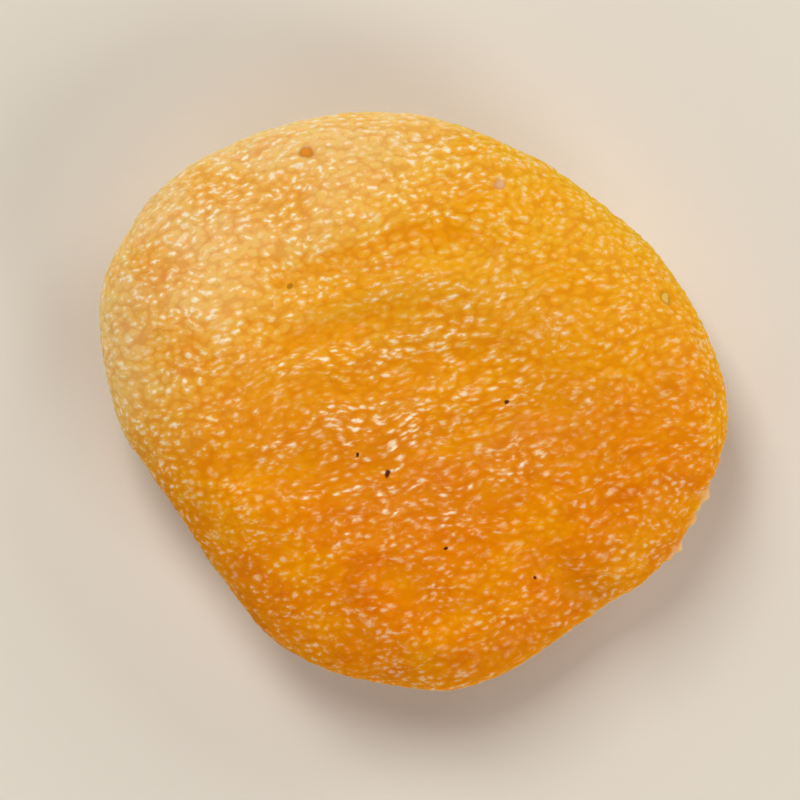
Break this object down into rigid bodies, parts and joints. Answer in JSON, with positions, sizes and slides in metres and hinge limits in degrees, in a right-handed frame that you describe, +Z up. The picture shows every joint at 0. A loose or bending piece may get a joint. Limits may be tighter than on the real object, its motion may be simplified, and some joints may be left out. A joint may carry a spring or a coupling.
{
  "type": "dried apricot",
  "caption": "Whole pitted apricot, dried to a plump wrinkled disc with a hollow in its upper side, lying flat.",
  "frame": {"origin": "on the surface that the fruit lies on, under the middle of its bounding box", "axes": "+X towards the stem end with the slit that the stone came out of, along the fruit's length; +Y across it, away from its seam; +Z up through the hollow in its upper side"},
  "size_m": [0.0404, 0.0348, 0.012],
  "materials": {
    "dried_fruit": "satin"
  },
  "bodies": {
    "root": {"dried_apricot": "dried_fruit"}
  },
  "joints": []
}
